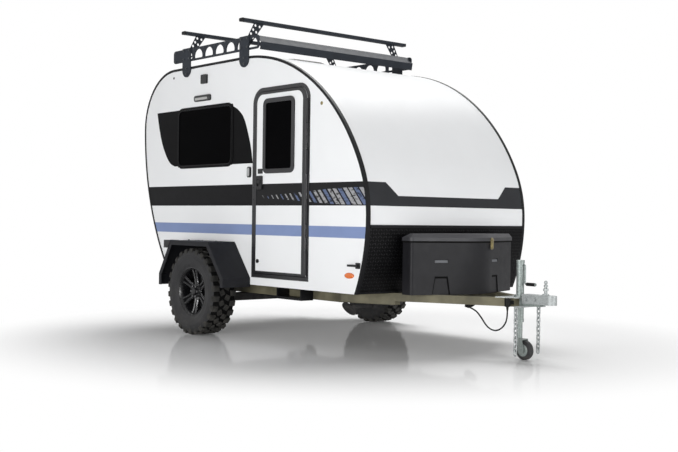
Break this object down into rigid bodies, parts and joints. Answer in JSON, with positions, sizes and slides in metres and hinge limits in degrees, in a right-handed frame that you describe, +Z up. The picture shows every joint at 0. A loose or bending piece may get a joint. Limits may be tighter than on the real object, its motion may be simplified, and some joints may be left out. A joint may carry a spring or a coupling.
{
  "type": "travel trailer",
  "caption": "Small teardrop-style travel trailer with lugged tyres, side entry door, tongue tool box, tongue jack and a drilled-plate roof rack.",
  "frame": {"origin": "middle of the bounding box at ground level", "axes": "+X forward to the coupler, +Y to the left, +Z up"},
  "size_m": [4.2299, 2.3, 2.669],
  "materials": {
    "white_panel": "smooth white gel-coat laminate",
    "floor_board": "dark sealed plywood",
    "black_trim": "satin black trim",
    "guard_plate": "black coated tread plate",
    "tinted_glass": "dark tinted pane",
    "dark_coat": "dark grey textured powder coat",
    "galvanised": "zinc plated steel",
    "tyre_rubber": "black tread rubber",
    "rim_black": "gloss black alloy with bright edges",
    "box_plastic": "grained dark grey moulding",
    "amber_lens": "amber lens",
    "red_lens": "dark red lens",
    "lamp_black": "black lamp housing",
    "black_rubber": "soft black rubber",
    "brass": "plated latch"
  },
  "bodies": {
    "trailer": {"main_rails": "galvanised", "cross_members": "galvanised", "tongue_rails": "galvanised", "tongue_tube": "galvanised", "coupler": "galvanised", "coupler_latch": "galvanised", "axle_beam": "dark_coat", "axle_arms": "dark_coat", "floor_panel": "floor_board", "wall_right": "white_panel", "wall_left": "white_panel", "front_panel": "white_panel", "roof_panel": "white_panel", "rear_panel": "white_panel", "corner_mouldings": "black_trim", "front_guard": "guard_plate", "door_frame": "black_trim", "window_frames": "black_trim", "window_glass": "tinted_glass", "fender_right": "dark_coat", "fender_left": "dark_coat", "tail_lamps": "red_lens", "marker_lamps": "amber_lens", "porch_lamp": "lamp_black", "wall_fittings": "lamp_black", "tool_box": "box_plastic", "rack_trusses": "dark_coat", "rack_posts": "dark_coat", "rack_struts": "dark_coat", "rack_crossbars": "dark_coat", "rack_fairing": "dark_coat", "vent_base": "black_trim", "stabilizer_brackets": "black_trim", "entry_step": "black_trim", "jack_tube": "galvanised", "jack_crank": "galvanised", "safety_chains": "galvanised", "chain_eyes": "galvanised", "power_cable": "black_rubber", "cable_gland": "black_rubber", "cable_plug": "black_rubber", "plug_holder": "black_rubber"},
    "wheel_right": {"tyre_right": "tyre_rubber", "rim_right": "rim_black"},
    "wheel_left": {"tyre_left": "tyre_rubber", "rim_left": "rim_black"},
    "door": {"door_leaf": "white_panel", "door_trim": "black_trim", "door_glass": "tinted_glass", "door_handle": "lamp_black"},
    "tool_box_lid": {"tool_box_lid": "box_plastic", "tool_box_latch": "brass"},
    "vent_lid": {"vent_lid": "black_trim"},
    "jack_leg": {"jack_leg": "galvanised"},
    "jack_fork": {"jack_fork": "galvanised"},
    "jack_wheel": {"jack_wheel": "black_rubber"},
    "stabilizer_front_right": {"stabilizer_front_right": "galvanised"},
    "stabilizer_front_left": {"stabilizer_front_left": "galvanised"},
    "stabilizer_rear_right": {"stabilizer_rear_right": "galvanised"},
    "stabilizer_rear_left": {"stabilizer_rear_left": "galvanised"}
  },
  "joints": [
    {"name": "wheel_right_spin", "type": "hinge", "parent": "trailer", "child": "wheel_right", "pos_m": [-0.878, -1.0195, 0.37], "axis": [0, 1, 0], "continuous": true},
    {"name": "wheel_left_spin", "type": "hinge", "parent": "trailer", "child": "wheel_left", "pos_m": [-0.878, 1.0195, 0.37], "axis": [0, 1, 0], "continuous": true},
    {"name": "door_hinge", "type": "hinge", "parent": "trailer", "child": "door", "pos_m": [0.376, -0.889, 1.2], "axis": [0, 0, 1], "range_deg": [0, 170]},
    {"name": "tool_box_lid_hinge", "type": "hinge", "parent": "trailer", "child": "tool_box_lid", "pos_m": [1.126, 0, 0.8503], "axis": [0, -1, 0], "range_deg": [0, 65]},
    {"name": "vent_lid_hinge", "type": "hinge", "parent": "trailer", "child": "vent_lid", "pos_m": [-0.695, 0, 2.3817], "axis": [0, 1, 0], "range_deg": [0, 60]},
    {"name": "jack_slide", "type": "slide", "parent": "trailer", "child": "jack_leg", "axis": [0, 0, 1], "range_m": [0, 0.11]},
    {"name": "jack_swivel", "type": "hinge", "parent": "jack_leg", "child": "jack_fork", "pos_m": [1.79, 0, 0.15], "axis": [0, 0, 1], "continuous": true},
    {"name": "jack_wheel_spin", "type": "hinge", "parent": "jack_fork", "child": "jack_wheel", "pos_m": [1.84, 0, 0.07], "axis": [0, 1, 0], "continuous": true},
    {"name": "stabilizer_front_right_swing", "type": "hinge", "parent": "trailer", "child": "stabilizer_front_right", "pos_m": [0.685, -0.44, 0.333], "axis": [1, 0, 0], "range_deg": [0, 90]},
    {"name": "stabilizer_front_left_swing", "type": "hinge", "parent": "trailer", "child": "stabilizer_front_left", "pos_m": [0.685, 0.44, 0.333], "axis": [-1, 0, 0], "range_deg": [0, 90]},
    {"name": "stabilizer_rear_right_swing", "type": "hinge", "parent": "trailer", "child": "stabilizer_rear_right", "pos_m": [-1.475, -0.44, 0.333], "axis": [1, 0, 0], "range_deg": [0, 90]},
    {"name": "stabilizer_rear_left_swing", "type": "hinge", "parent": "trailer", "child": "stabilizer_rear_left", "pos_m": [-1.475, 0.44, 0.333], "axis": [-1, 0, 0], "range_deg": [0, 90]}
  ]
}
